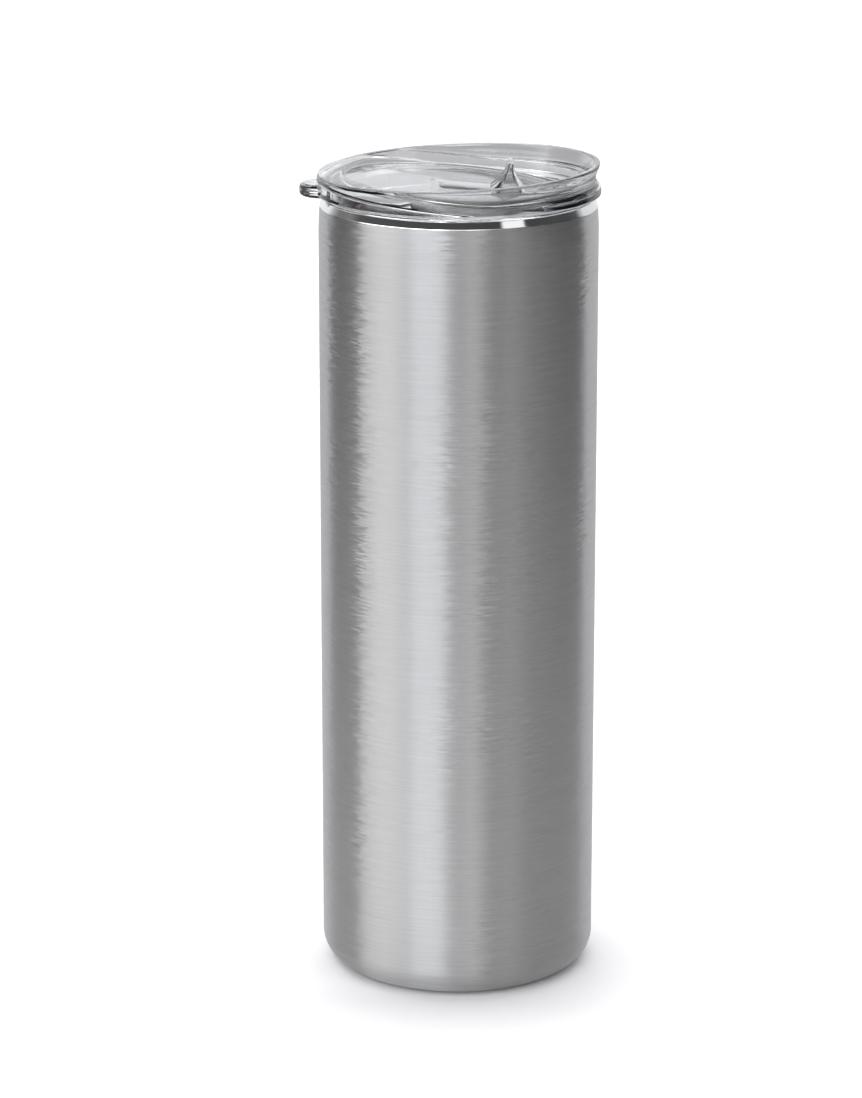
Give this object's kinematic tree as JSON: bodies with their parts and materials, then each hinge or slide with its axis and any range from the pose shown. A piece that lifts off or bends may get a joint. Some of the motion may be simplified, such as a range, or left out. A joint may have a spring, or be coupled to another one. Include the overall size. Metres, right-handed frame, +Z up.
{
  "type": "insulated tumbler",
  "caption": "Straight-walled vacuum-insulated steel tumbler with a clear press-in lid, a sliding mouth cover and a pull tab.",
  "frame": {"origin": "centre of the standing ring, at the height of the table", "axes": "+Z up along the cup's axis, +X towards the lid's drinking side, its pull tab on -X"},
  "size_m": [0.0784, 0.074, 0.2182],
  "materials": {
    "brushed_steel": "brushed around the cup",
    "polished_steel": "polished at the lip, satin inside",
    "plain_steel": "satin",
    "copper": "bright foil",
    "seal_glass": "fused bead",
    "getter_grey": "pressed powder",
    "clear_plastic": "clear, moulded",
    "silicone": "translucent, matt"
  },
  "bodies": {
    "cup": {"outer_shell": "brushed_steel", "inner_liner": "polished_steel", "inner_bottom": "polished_steel", "copper_foil": "copper", "outer_base": "plain_steel", "base_cover": "plain_steel", "vacuum_seal": "seal_glass", "getter_tray": "plain_steel", "getter": "getter_grey"},
    "lid": {"lid_body": "clear_plastic", "lid_gasket": "silicone"},
    "slider": {"slider": "clear_plastic"}
  },
  "joints": [
    {"name": "lid_lift", "type": "slide", "parent": "cup", "child": "lid", "axis": [0, 0, 1], "range_m": [0, 0.06]},
    {"name": "slider_slide", "type": "slide", "parent": "lid", "child": "slider", "axis": [-0.9962, 0, 0.0872], "range_m": [0, 0.013]}
  ]
}
